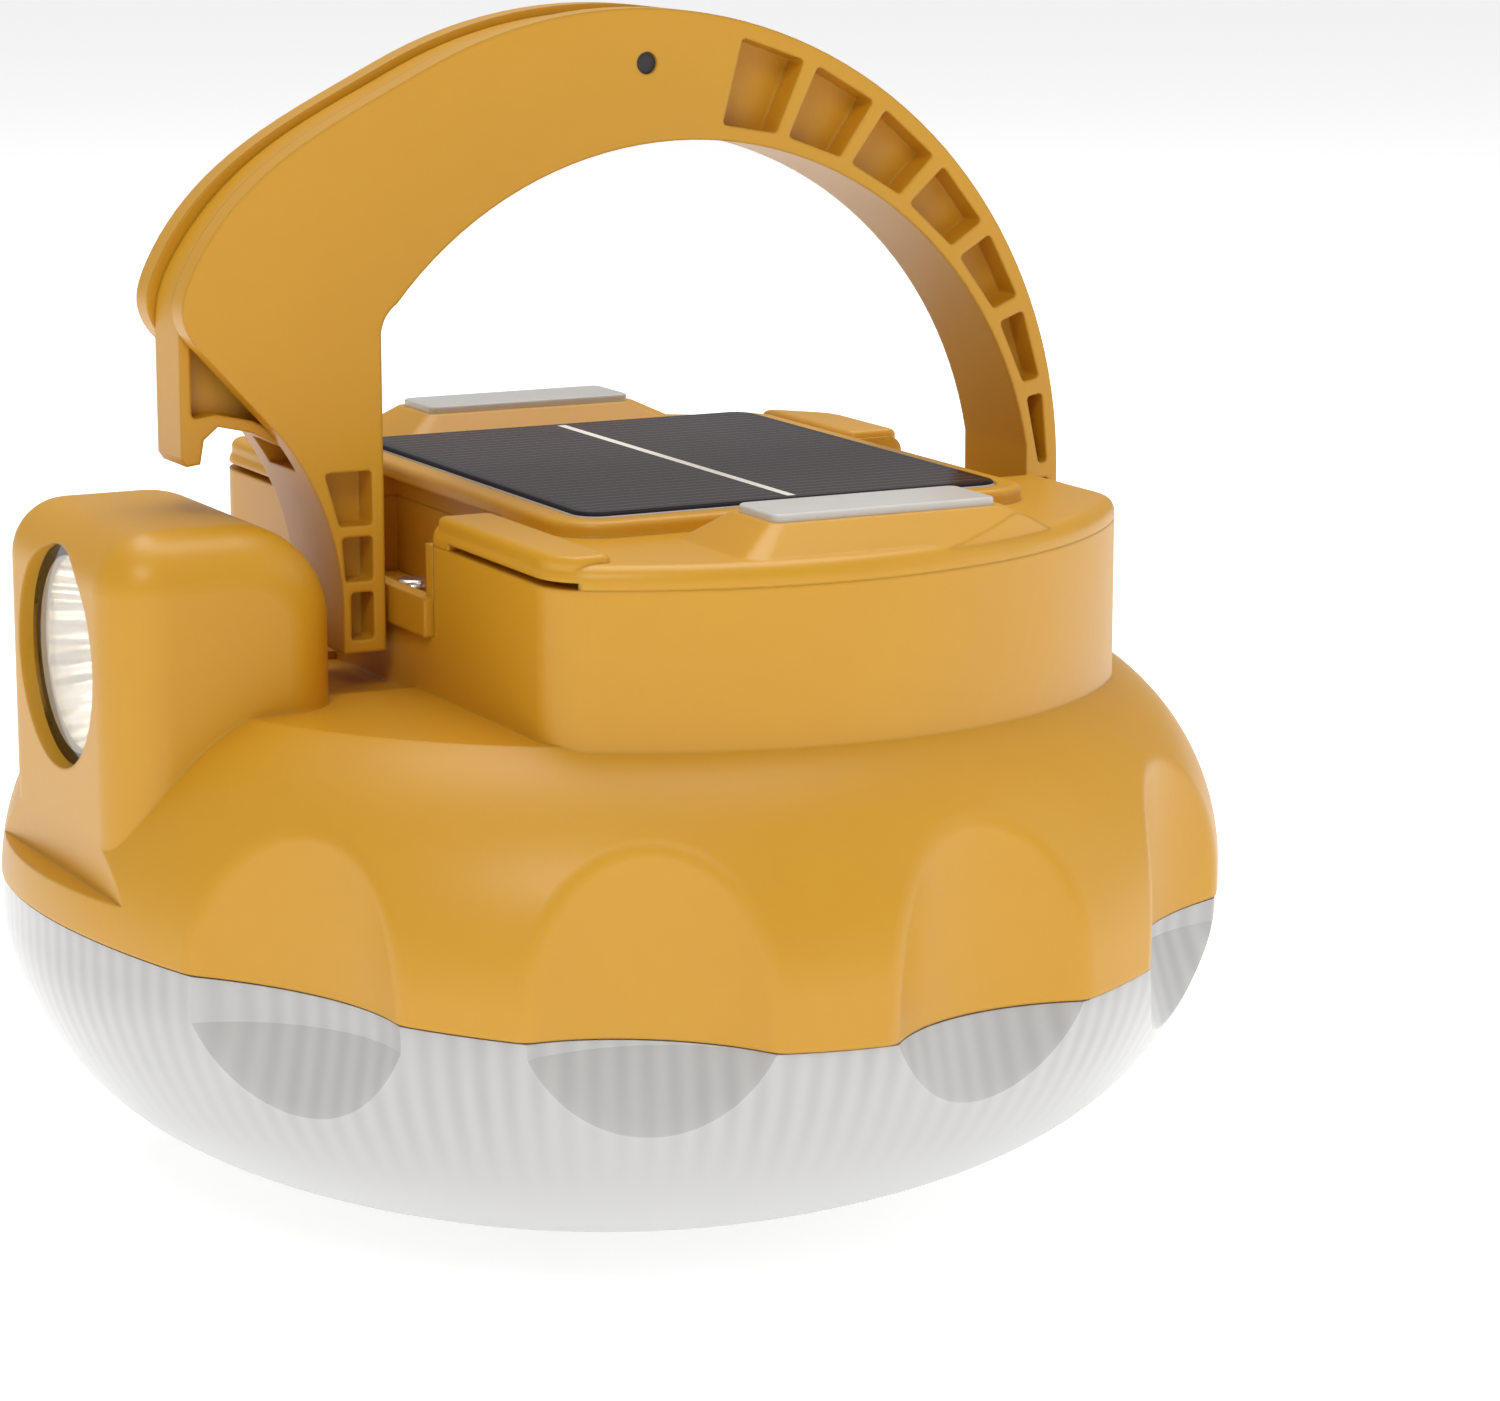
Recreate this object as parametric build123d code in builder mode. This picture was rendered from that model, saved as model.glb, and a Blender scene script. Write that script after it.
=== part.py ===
from build123d import *
import os
from math import asin, cos, degrees, radians, sin, sqrt

os.makedirs("parts", exist_ok=True)

# Solar lantern, millimetres. +Z up, origin at the centre of the diffuser's flat foot,
# torch towards -X, the handle's plane is XZ.

# Skirt, drum and lid
skirt_radius = 72.5
skirt_edge_z = 33.7          # lowest point of the edge, which arches up towards both ends
edge_arch_radius = 430.0
edge_arch_x = 4.6
skirt_blank_z = 30.0
shoulder_z = 39.5
shoulder_radius = 28.0
skirt_roof_z = 64.5
wall = 2.3
scallop_count = 10
scallop_first_angle = -144
scallop_sweep = 288
scallop_centre_radius = 87.0
scallop_radius = 20.8         # at the skirt's edge
scallop_top_radius = 19.6
scallop_top_z = 60.0
scallop_edge_round = 3.0
drum_radius = 58.6
drum_centre_x = 1.5
torch_flat_x = -30.3
far_flat_x = 49.0
drum_corner_radius = 7.0
wall_top_z = 81.6
lid_top_z = 84.2
mid_x = (torch_flat_x + far_flat_x) / 2

# Bracket recesses in the drum's two flats
recess_half_width = 17.5
recess_depth = 10.3
recess_floor_z = 71.1

# Torch
shroud_front_x = -69.0
shroud_rear_x = -42.0
shroud_half_width = 19.75
shroud_top_z = 85.2
shroud_foot_z = 44.0
shroud_round = 6.5
torch_z = 69.4
torch_lip_z = 45.0
torch_bore_radius = 12.65
torch_bore_end_x = -47.0

# Handle, hook and pivots
handle_half_width = 7.5
pivot_z = 73.3
pivot_pin_radius = 1.25
running_gap = 0.05
leg_foot_z = 68.1
left_leg_inner_x = -32.0
right_leg_inner_x = 52.6
right_leg_outer_x = 56.9
arch_centre = (-0.3, 82.9)
arch_radius = 57.2
hook_pin_x = 1.5
hook_pin_z = 133.8
hook_pin_radius = 1.3
hook_half_width = 3.8
hook_web = 2.0
channel_half_width = 4.1
trench_floor_z = 63.6

# Diffuser
foot_radius = 18.0
diffuser_top_z = 42.0
parting_gap = 0.2
diffuser_wall = 2.0

# Solar panel
panel_centre_x = 8.0
panel_length_x = 53.6
panel_width_y = 65.5
panel_thickness = 2.5
panel_bottom_z = 84.0
plinth_margin = 3.0
plinth_top_z = 86.0

# Inner pieces
tray_z = 40.0
tray_thickness = 2.0
tray_radius = 62.0
cell_radius = 9.1
cell_length = 65.0
cell_xs = (-2.0, 18.0)
cell_z = 52.8
board_thickness = 1.6
control_pad_y = 59.4
control_pad_back_y = control_pad_y - 7.3
board_y = control_pad_y - 13.8
button_x = -9.5
port_x = 12.5
control_z = 71.2
button_radius = 5.5
button_flange_radius = 6.6
button_flange_y = control_pad_y - 4.8


lowest = (Align.CENTER, Align.CENTER, Align.MIN)


def save(piece, name):
    """Label a finished piece and write it as its own node."""
    piece.part.label = name
    export_step(piece.part, "parts/" + name + ".step")


def drum_outline(inset):
    """Plan outline of the drum: a circle cut by two flats, moved inwards."""
    with BuildSketch() as outline:
        with Locations((drum_centre_x, 0)):
            Circle(drum_radius - inset)
        with Locations((mid_x, 0)):
            Rectangle(far_flat_x - torch_flat_x - 2 * inset, 2 * drum_radius, mode=Mode.INTERSECT)
        fillet(outline.vertices(), drum_corner_radius - inset)
    return outline.sketch


def interior_outline(gap):
    """Plan outline of the drum's inside, clear of the walls by a gap."""
    block_depth = recess_depth + wall + gap
    with BuildSketch() as outline:
        add(drum_outline(wall + gap))
        for flat_x, inward in ((torch_flat_x, 1), (far_flat_x, -1)):
            with Locations((flat_x + inward * block_depth / 2, 0)):
                Rectangle(block_depth, 2 * (recess_half_width + wall + gap), mode=Mode.SUBTRACT)
    return outline.sketch


def scallop_places():
    """Places of the scallops: ten between the two sides of the torch."""
    return PolarLocations(
        scallop_centre_radius, scallop_count, scallop_first_angle, scallop_sweep, endpoint=True)


def leaves_rim(edge):
    """Whether an edge runs up the side of a scallop, not round a level circle."""
    heights = [edge.position_at(place).Z for place in (0, 0.5, 1)]
    return max(heights) - min(heights) > 1


def edge_arch(gap):
    """Big cylinder lying along Y whose underside is the arched parting line, raised by a gap."""
    with BuildPart() as arch:
        with BuildSketch(Plane.XZ):
            with Locations((edge_arch_x, skirt_edge_z + edge_arch_radius)):
                Circle(edge_arch_radius + gap)
        extrude(amount=100, both=True)
    return arch.part


def skirt_form(inset, bottom_z):
    """Solid filling the scalloped skirt, moved inwards."""
    arc_radius = shoulder_radius - inset
    roof_z = skirt_roof_z - inset
    roof_angle = degrees(asin((roof_z - shoulder_z) / arc_radius))
    outer_x = skirt_radius - inset
    with BuildPart() as form:
        with BuildSketch(Plane.XZ):
            with BuildLine():
                Polyline((0, bottom_z), (outer_x, bottom_z), (outer_x, shoulder_z))
                shoulder = CenterArc((skirt_radius - shoulder_radius, shoulder_z), arc_radius, 0, roof_angle)
                Polyline(shoulder @ 1, (0, roof_z), (0, bottom_z))
            make_face()
        revolve(axis=Axis.Z)
        with Locations((0, 0, bottom_z)):
            with scallop_places():
                Cone(scallop_radius + inset, scallop_top_radius + inset, scallop_top_z - bottom_z,
                     align=lowest, mode=Mode.SUBTRACT)
        if inset == 0:
            scallop_edges = form.edges().filter_by(lambda edge: edge.length > 3 and leaves_rim(edge))
            fillet(scallop_edges, scallop_edge_round)
    return form.part


def shroud_form(inset):
    """Solid filling the torch shroud, moved inwards."""
    half_width = shroud_half_width - inset
    top_z = shroud_top_z - inset
    front_x = shroud_front_x + inset
    rear_x = shroud_rear_x - inset
    with BuildPart() as form:
        with BuildSketch(Plane.XZ):
            with BuildLine():
                along = FilletPolyline(
                    (front_x, shroud_foot_z), (front_x, top_z),
                    (rear_x, top_z), (rear_x, shroud_foot_z), radius=[shroud_round - inset, 11 - inset])
                Line(along @ 1, along @ 0)
            make_face()
        extrude(amount=half_width, both=True)
        sides = form.faces().sort_by(Axis.Y)
        rim = sides[0].edges() + sides[-1].edges()
        fillet(rim.filter_by(lambda edge: edge.center().Z > shroud_foot_z + 1), shroud_round - inset - 0.1)
    return form.part


# ---- Skirt housing: skirt, drum wall and torch shroud in one moulding ----

with BuildPart() as cavity:
    add(skirt_form(wall, skirt_blank_z - 1))
    # keeps the wall's thickness behind the flat in front of the torch
    with BuildSketch(Plane.XY.offset(torch_lip_z - wall)):
        with Locations((shroud_front_x + wall - 10, 0)):
            Rectangle(20, 80)
    extrude(amount=40, mode=Mode.SUBTRACT)
    with BuildSketch(Plane.XY.offset(shoulder_z)):
        add(interior_outline(0))
    extrude(amount=wall_top_z + 1 - shoulder_z)
    with BuildSketch(Plane.XY.offset(shoulder_z)):
        add(drum_outline(wall))
    extrude(amount=recess_floor_z - wall - shoulder_z)

with BuildPart() as shroud_cavity:
    add(shroud_form(wall))
    with BuildSketch(Plane.YZ.offset(shroud_front_x)):
        with Locations((0, torch_z)):
            Circle(torch_bore_radius + wall)
    extrude(amount=torch_bore_end_x + wall - shroud_front_x, mode=Mode.SUBTRACT)

boss_circle_radius = 57.0
boss_angles = (32, -32, 128, -128)
boss_points = [(boss_circle_radius * cos(radians(a)), boss_circle_radius * sin(radians(a))) for a in boss_angles]
ear_points = [(-22, 43.5), (-22, -43.5), (36, 36), (36, -36)]
bracket_screw_xs = (torch_flat_x + 5.0, far_flat_x - 5.0)

with BuildPart() as skirt_housing:
    add(skirt_form(0, skirt_blank_z))
    add(edge_arch(0), mode=Mode.INTERSECT)
    # flat in front of the torch, above the skirt's lip
    with BuildSketch(Plane.XY.offset(torch_lip_z)):
        with Locations((shroud_front_x - 10, 0)):
            Rectangle(20, 80)
    extrude(amount=40, mode=Mode.SUBTRACT)
    with BuildSketch(Plane.XY.offset(shoulder_z)):
        add(drum_outline(0))
    extrude(amount=wall_top_z - shoulder_z)
    add(shroud_form(0))
    add(cavity.part, mode=Mode.SUBTRACT)
    add(shroud_cavity.part, mode=Mode.SUBTRACT)
    # ring that guides the diffuser's collar
    with BuildSketch(Plane.XY.offset(36)):
        Circle(64.2)
        Circle(62.4, mode=Mode.SUBTRACT)
    extrude(amount=10)
    # bosses for the tray screws
    with BuildSketch(Plane.XY.offset(tray_z + tray_thickness)):
        with Locations(*boss_points):
            Circle(3.6)
    extrude(amount=20)
    # ears under the lid's bosses
    with BuildSketch(Plane.XY.offset(75)):
        with Locations(*ear_points):
            Circle(7)
        add(interior_outline(-0.5), mode=Mode.INTERSECT)
    extrude(amount=3)
    # pad for the button and the charging port
    with BuildSketch(Plane.XZ.offset(-control_pad_back_y)):
        with Locations((drum_centre_x, control_z)):
            RectangleRounded(42, 12, 4)
    extrude(amount=-(control_pad_y - control_pad_back_y))
    # posts under the bracket screws
    with BuildSketch(Plane.XY.offset(65.5)):
        with Locations((bracket_screw_xs[0], 0), (bracket_screw_xs[1], 0)):
            Circle(3.2)
    extrude(amount=recess_floor_z - 65.5)
    # bracket recesses
    for flat_x, inward in ((torch_flat_x, 1), (far_flat_x, -1)):
        with BuildSketch(Plane.XY.offset(recess_floor_z)):
            with Locations((flat_x + inward * (recess_depth / 2 - 5), 0)):
                Rectangle(recess_depth + 10, 2 * recess_half_width)
        extrude(amount=20, mode=Mode.SUBTRACT)
    # shallow trenches under the turning feet of the handle
    with BuildSketch(Plane.XY.offset(trench_floor_z)):
        with Locations(((torch_flat_x + shroud_rear_x) / 2, 0)):
            Rectangle(torch_flat_x - shroud_rear_x, 24)
        with Locations((far_flat_x + 6, 0)):
            Rectangle(12, 24)
    extrude(amount=4, mode=Mode.SUBTRACT)
    # torch bore and the way for its leads
    with BuildSketch(Plane.YZ.offset(shroud_front_x)):
        with Locations((0, torch_z)):
            Circle(torch_bore_radius)
    extrude(amount=torch_bore_end_x - shroud_front_x, mode=Mode.SUBTRACT)
    with BuildSketch(Plane.YZ.offset(torch_bore_end_x)):
        with Locations((0, torch_z - 4)):
            Circle(1.6)
    extrude(amount=wall + 0.5, mode=Mode.SUBTRACT)
    # screw holes
    with BuildSketch(Plane.XY.offset(tray_z + tray_thickness)):
        with Locations(*boss_points):
            Circle(1.2)
    extrude(amount=12, mode=Mode.SUBTRACT)
    with BuildSketch(Plane.XY.offset(75)):
        with Locations(*ear_points):
            Circle(1.4)
    extrude(amount=3, mode=Mode.SUBTRACT)
    with BuildSketch(Plane.XY.offset(65.5)):
        with Locations((bracket_screw_xs[0], 0), (bracket_screw_xs[1], 0)):
            Circle(1.25)
    extrude(amount=6, mode=Mode.SUBTRACT)
    # button well, wider behind for the cap's flange
    with BuildSketch(Plane.XZ.offset(-control_pad_y)):
        with Locations((button_x, control_z)):
            Circle(button_radius + 0.3)
    extrude(amount=20, mode=Mode.SUBTRACT)
    with BuildSketch(Plane.XZ.offset(-button_flange_y - 0.2)):
        with Locations((button_x, control_z)):
            Circle(button_flange_radius + 0.3)
    extrude(amount=10, mode=Mode.SUBTRACT)
    # charging port: pocket for the cover and the slot behind it
    with BuildSketch(Plane.XZ.offset(-control_pad_y)):
        with Locations((port_x, control_z)):
            RectangleRounded(15, 8, 0.5)
    extrude(amount=1.8, mode=Mode.SUBTRACT)
    with BuildSketch(Plane.XZ.offset(-control_pad_y)):
        with Locations((port_x, control_z)):
            RectangleRounded(9.6, 3.9, 1.9)
    extrude(amount=20, mode=Mode.SUBTRACT)

save(skirt_housing, "skirt_housing")

# ---- Solar lid: plate, plinth, window humps and hinge tabs ----

hump_centre_x = 9.0
hump_pocket = (25.4, 7.4)
hump_pocket_y = 47.0
hump_top_z = 87.3
window_opening = (24.0, 6.2)
window_plate = (27.6, 9.6)
tab_depth = 7.0
tab_length = 32.0
tab_y = recess_half_width + 0.6 + tab_length / 2
tab_places = (
    (torch_flat_x + tab_depth / 2, -tab_y), (torch_flat_x + tab_depth / 2, tab_y),
    (far_flat_x - tab_depth / 2, tab_y))

with BuildPart() as lid_envelope:
    with BuildSketch(Plane.XY.offset(wall_top_z)):
        add(drum_outline(0.6))
    extrude(amount=10)

with BuildPart() as humps:
    for side in (-1, 1):
        with BuildSketch(Plane.XY.offset(lid_top_z - 0.5)):
            with Locations((hump_centre_x + 1, side * 47)):
                RectangleRounded(42, 19.5, 2.5)
        with BuildSketch(Plane.XY.offset(hump_top_z)):
            with Locations((hump_centre_x, side * hump_pocket_y)):
                RectangleRounded(29, 11, 1.5)
        loft()
    add(lid_envelope.part, mode=Mode.INTERSECT)

with BuildPart() as solar_lid:
    with BuildSketch(Plane.XY.offset(wall_top_z)):
        add(drum_outline(0))
    extrude(amount=lid_top_z - wall_top_z)
    fillet(solar_lid.faces().sort_by(Axis.Z)[-1].edges(), 1.8)
    with BuildSketch(Plane.XY.offset(lid_top_z - 0.5)):
        with Locations((panel_centre_x, 0)):
            RectangleRounded(panel_length_x + 2 * plinth_margin, panel_width_y + 2 * plinth_margin, 6)
    plinth = extrude(amount=plinth_top_z - lid_top_z + 0.5)
    fillet(plinth.faces().sort_by(Axis.Z)[-1].edges(), 0.8)
    add(humps.part)
    # raised tabs each side of the two recesses
    for tab_x, tab_y in tab_places:
        with BuildSketch(Plane.XY.offset(lid_top_z - 1.5)):
            with Locations((tab_x, tab_y)):
                RectangleRounded(tab_depth, tab_length, 1.2)
            add(drum_outline(0.35), mode=Mode.INTERSECT)
        tab = extrude(amount=2.4)
        fillet(tab.faces().sort_by(Axis.Z)[-1].edges(), 0.8)
    # ring that locates the lid inside the drum
    with BuildSketch(Plane.XY.offset(78)):
        add(interior_outline(1.15))
        add(interior_outline(2.7), mode=Mode.SUBTRACT)
    extrude(amount=wall_top_z - 78)
    with BuildSketch(Plane.XY.offset(78)):
        with Locations(*ear_points):
            Circle(3.6)
    extrude(amount=wall_top_z - 78)
    # bracket recesses, open at the top
    for flat_x, inward in ((torch_flat_x, 1), (far_flat_x, -1)):
        with BuildSketch(Plane.XY.offset(70)):
            with Locations((flat_x + inward * (recess_depth / 2 - 5), 0)):
                Rectangle(recess_depth + 10, 2 * recess_half_width)
        extrude(amount=14.2, mode=Mode.SUBTRACT)
    # shadow slot under the outer corner of each tab
    for tab_x, tab_y in tab_places:
        with BuildSketch(Plane.XY.offset(wall_top_z)):
            with Locations((tab_x, tab_y * 1.06)):
                Rectangle(tab_depth + 0.4, tab_length - 3)
        extrude(amount=0.8, mode=Mode.SUBTRACT)
    # pocket for the panel and the hole for its leads
    with BuildSketch(Plane.XY.offset(panel_bottom_z)):
        with Locations((panel_centre_x, 0)):
            RectangleRounded(panel_length_x + 0.4, panel_width_y + 0.4, 3.2)
    extrude(amount=6, mode=Mode.SUBTRACT)
    with BuildSketch(Plane.XY.offset(wall_top_z)):
        with Locations((panel_centre_x, 20)):
            Circle(3)
    extrude(amount=6, mode=Mode.SUBTRACT)
    # pockets and openings of the side windows
    with BuildSketch(Plane.XY.offset(wall_top_z)):
        with Locations((hump_centre_x, hump_pocket_y), (hump_centre_x, -hump_pocket_y)):
            Rectangle(*hump_pocket)
    extrude(amount=85.6 - wall_top_z, mode=Mode.SUBTRACT)
    with BuildSketch(Plane.XY.offset(wall_top_z)):
        with Locations((hump_centre_x, hump_pocket_y), (hump_centre_x, -hump_pocket_y)):
            RectangleRounded(*window_opening, 1)
    extrude(amount=10, mode=Mode.SUBTRACT)
    with BuildSketch(Plane.XY.offset(78)):
        with Locations(*ear_points):
            Circle(1.1)
    extrude(amount=4.5, mode=Mode.SUBTRACT)

save(solar_lid, "solar_lid")

with BuildPart() as lid_seal:
    with BuildSketch(Plane.XY.offset(79.4)):
        add(interior_outline(0.05))
        add(interior_outline(1.1), mode=Mode.SUBTRACT)
    extrude(amount=1.8)
save(lid_seal, "lid_seal")

with BuildPart() as lid_screws:
    with BuildSketch(Plane.XY.offset(73.2)):
        with Locations(*ear_points):
            Circle(2.4)
    extrude(amount=1.8)
    with BuildSketch(Plane.XY.offset(74)):
        with Locations(*ear_points):
            Circle(1.1)
    extrude(amount=8)
save(lid_screws, "lid_screws")

# ---- Solar panel ----

with BuildPart() as solar_panel:
    with BuildSketch(Plane.XY.offset(panel_bottom_z)):
        with Locations((panel_centre_x, 0)):
            RectangleRounded(panel_length_x, panel_width_y, 3)
    extrude(amount=panel_thickness)
    fillet(solar_panel.faces().sort_by(Axis.Z)[-1].edges(), 0.7)
    with BuildSketch(Plane.XY.offset(panel_bottom_z + 1.2)):
        with Locations((panel_centre_x, 0)):
            Rectangle(panel_length_x - 3, panel_width_y - 3)
    extrude(amount=0.5, mode=Mode.SUBTRACT)
save(solar_panel, "solar_panel")

with BuildPart() as solar_cells:
    with BuildSketch(Plane.XY.offset(panel_bottom_z + 1.25)):
        with Locations((panel_centre_x - 13, 0), (panel_centre_x + 13, 0)):
            Rectangle(24.4, panel_width_y - 3.4)
    extrude(amount=0.3)
save(solar_cells, "solar_cells")

with BuildPart() as solar_busbar:
    with BuildSketch(Plane.XY.offset(panel_bottom_z + 1.25)):
        with Locations((panel_centre_x, 0)):
            Rectangle(1.2, panel_width_y - 3.4)
    extrude(amount=0.35)
save(solar_busbar, "solar_busbar")

# ---- Side windows with their lamps ----

for name, side in (("front", -1), ("back", 1)):
    centre = (hump_centre_x, side * hump_pocket_y)
    with BuildPart() as window:
        with BuildSketch(Plane.XY.offset(84.9)):
            with Locations(centre):
                RectangleRounded(window_opening[0] - 0.2, window_opening[1] - 0.2, 0.9)
        extrude(amount=hump_top_z - 84.9)
        with BuildSketch(Plane.XY.offset(hump_top_z)):
            with Locations(centre):
                RectangleRounded(*window_plate, 1.2)
        plate = extrude(amount=0.9)
        fillet(plate.faces().sort_by(Axis.Z)[-1].edges(), 0.35)
    save(window, "side_window_" + name)
    with BuildPart() as board:
        with BuildSketch(Plane.XY.offset(82.9)):
            with Locations(centre):
                Rectangle(hump_pocket[0] - 0.3, hump_pocket[1] - 0.3)
        extrude(amount=1.0)
    save(board, "side_led_board_" + name)

with BuildPart() as side_leds:
    with BuildSketch(Plane.XY.offset(83.9)):
        for side in (-1, 1):
            with Locations((hump_centre_x, side * hump_pocket_y)):
                with GridLocations(5.2, 1, 4, 1):
                    Rectangle(2.8, 3.5)
    extrude(amount=0.7)
save(side_leds, "side_leds")

# ---- Diffuser ----

def bowl_form(inset):
    """Solid filling the diffuser's bowl, moved inwards, with the skirt's scallops fading out below."""
    across = 1 - inset / skirt_radius
    outline = [(72.3, 36), (71.2, 30), (65.8, 20), (53.4, 10), (32.5, 2.3), (foot_radius, 0)]
    points = [(r * across, inset + z * (1 - inset / 36)) for r, z in outline]
    top = (points[0][0], diffuser_top_z)
    with BuildPart() as form:
        with BuildSketch(Plane.XZ):
            with BuildLine():
                Polyline((0, top[1]), top, points[0])
                Spline(*points, tangents=[(0, -1), (-1, -0.12)])
                Polyline(points[-1], (0, points[-1][1]), (0, top[1]))
            make_face()
        revolve(axis=Axis.Z)
        with Locations((0, 0, fade_z)):
            with scallop_places():
                Cone(17.6 + inset, scallop_radius + inset, fade_height, align=lowest, mode=Mode.SUBTRACT)
        with Locations((0, 0, fade_z + fade_height)):
            with scallop_places():
                Cone(scallop_radius + inset, scallop_radius + inset - 0.4, 9, align=lowest, mode=Mode.SUBTRACT)
        add(edge_arch(parting_gap), mode=Mode.SUBTRACT)
    return form.part


fade_z = 22.0
fade_height = 12.0

with BuildPart() as diffuser:
    add(bowl_form(0))
    add(bowl_form(diffuser_wall), mode=Mode.SUBTRACT)
    with BuildSketch(Plane.XY.offset(30.6)):
        Circle(66.6)
        Circle(59.8, mode=Mode.SUBTRACT)
    extrude(amount=2)
    with BuildSketch(Plane.XY.offset(30.6)):
        Circle(62.1)
        Circle(59.8, mode=Mode.SUBTRACT)
    extrude(amount=7.6)
save(diffuser, "diffuser")

with BuildPart() as diffuser_seal:
    with BuildSketch(Plane.XY.offset(38.25)):
        Circle(62.1)
        Circle(59.9, mode=Mode.SUBTRACT)
    extrude(amount=1.7)
save(diffuser_seal, "diffuser_seal")

# ---- Lamp tray, main lamp and battery ----

with BuildPart() as led_tray:
    with BuildSketch(Plane.XY.offset(tray_z)):
        Circle(tray_radius)
        with Locations(*boss_points):
            Circle(1.5, mode=Mode.SUBTRACT)
        with Locations((-38, 0)):
            Circle(3, mode=Mode.SUBTRACT)
    extrude(amount=tray_thickness)
save(led_tray, "led_tray")

with BuildPart() as tray_screws:
    with BuildSketch(Plane.XY.offset(tray_z - 1.8)):
        with Locations(*boss_points):
            Circle(2.5)
    extrude(amount=1.8)
    with BuildSketch(Plane.XY.offset(tray_z - 1)):
        with Locations(*boss_points):
            Circle(1.2)
    extrude(amount=11)
save(tray_screws, "tray_screws")

with BuildPart() as led_board:
    with BuildSketch(Plane.XY.offset(tray_z - 1.6)):
        Circle(46)
        with PolarLocations(27, 3):
            Circle(1.3, mode=Mode.SUBTRACT)
    extrude(amount=1.6)
save(led_board, "led_board")

with BuildPart() as board_screws:
    with BuildSketch(Plane.XY.offset(tray_z - 3)):
        with PolarLocations(27, 3):
            Circle(2.2)
    extrude(amount=1.4)
    with BuildSketch(Plane.XY.offset(tray_z - 2)):
        with PolarLocations(27, 3):
            Circle(1.2)
    extrude(amount=2)
save(board_screws, "board_screws")

with BuildPart() as main_leds:
    with BuildSketch(Plane.XY.offset(tray_z - 2.3)):
        with PolarLocations(14, 6):
            Rectangle(2.8, 3.5)
        with PolarLocations(38, 18):
            Rectangle(2.8, 3.5)
    extrude(amount=0.7)
save(main_leds, "main_leds")

with BuildPart() as battery_holder:
    with BuildSketch(Plane.XY.offset(tray_z + tray_thickness)):
        with Locations((8, 0)):
            RectangleRounded(44, 72, 3)
    extrude(amount=8)
    with BuildSketch(Plane.XZ):
        with Locations(*[(x, cell_z) for x in cell_xs]):
            Circle(cell_radius + 0.1)
    extrude(amount=cell_length / 2 + 0.3, both=True, mode=Mode.SUBTRACT)
save(battery_holder, "battery_holder")

with BuildPart() as battery_cells:
    with BuildSketch(Plane.XZ):
        with Locations(*[(x, cell_z) for x in cell_xs]):
            Circle(cell_radius)
    extrude(amount=cell_length / 2, both=True)
save(battery_cells, "battery_cells")

# ---- Control board, switch and charging port ----

with BuildPart() as control_board:
    with BuildSketch(Plane.XZ.offset(-board_y)):
        with Locations((5, control_z - 0.5)):
            Rectangle(38, 14)
    extrude(amount=-board_thickness)
    # charge controller, boost converter and coil on the board's inner face
    with BuildSketch(Plane.XZ.offset(-board_y)):
        with Locations((0, control_z), (12, control_z)):
            Rectangle(6, 5)
    extrude(amount=1.2)
save(control_board, "control_board")

with BuildPart() as button_switch:
    with BuildSketch(Plane.XZ.offset(-board_y - board_thickness)):
        with Locations((button_x, control_z)):
            Rectangle(6, 6)
    extrude(amount=-3.5)
    with BuildSketch(Plane.XZ.offset(-board_y - board_thickness)):
        with Locations((button_x, control_z)):
            Circle(1.7)
    extrude(amount=-4.3)
save(button_switch, "button_switch")

with BuildPart() as power_button:
    with BuildSketch(Plane.XZ.offset(-button_flange_y)):
        with Locations((button_x, control_z)):
            Circle(button_flange_radius)
    extrude(amount=1.3)
    with BuildSketch(Plane.XZ.offset(-button_flange_y)):
        with Locations((button_x, control_z)):
            Circle(button_radius)
    extrude(amount=-(control_pad_y + 1.2 - button_flange_y))
    fillet(power_button.faces().sort_by(Axis.Y)[-1].edges(), 0.7)
save(power_button, "power_button")

with BuildPart() as usb_c_port:
    with BuildSketch(Plane.XZ.offset(-board_y - board_thickness)):
        with Locations((port_x, control_z)):
            RectangleRounded(8.94, 3.26, 1.6)
    extrude(amount=-9.6)
    with BuildSketch(Plane.XZ.offset(-board_y - board_thickness - 9.6)):
        with Locations((port_x, control_z)):
            RectangleRounded(8.3, 2.6, 1.25)
    extrude(amount=6.5, mode=Mode.SUBTRACT)
save(usb_c_port, "usb_c_port")

with BuildPart() as usb_c_tongue:
    with BuildSketch(Plane.XZ.offset(-board_y - board_thickness - 3.1)):
        with Locations((port_x, control_z)):
            Rectangle(6.7, 0.7)
    extrude(amount=-5.2)
save(usb_c_tongue, "usb_c_tongue")

port_hinge_y = control_pad_y - 0.7
port_hinge_z = control_z - 3.0

with BuildPart() as port_cover:
    with BuildSketch(Plane.XZ.offset(-control_pad_y + 1.4)):
        with Locations((port_x, port_hinge_z + 3.35)):
            Rectangle(14.4, 6.7)
    extrude(amount=-1.4)
    fillet(port_cover.edges().filter_by(Axis.Y).group_by(Axis.Z)[-1], 1.4)
    # hinge roll along the lower edge
    with Locations((port_x, port_hinge_y, port_hinge_z)):
        Cylinder(0.7, 12.4, rotation=(0, 90, 0))
    with BuildSketch(Plane.XZ.offset(-control_pad_y)):
        with Locations((port_x, control_z + 2.6)):
            RectangleRounded(6, 1.2, 0.5)
    extrude(amount=-0.6)
save(port_cover, "port_cover")

# ---- Torch: reflector, lamp, lens and seal ----

torch_axis = Axis((0, 0, torch_z), (1, 0, 0))

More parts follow.
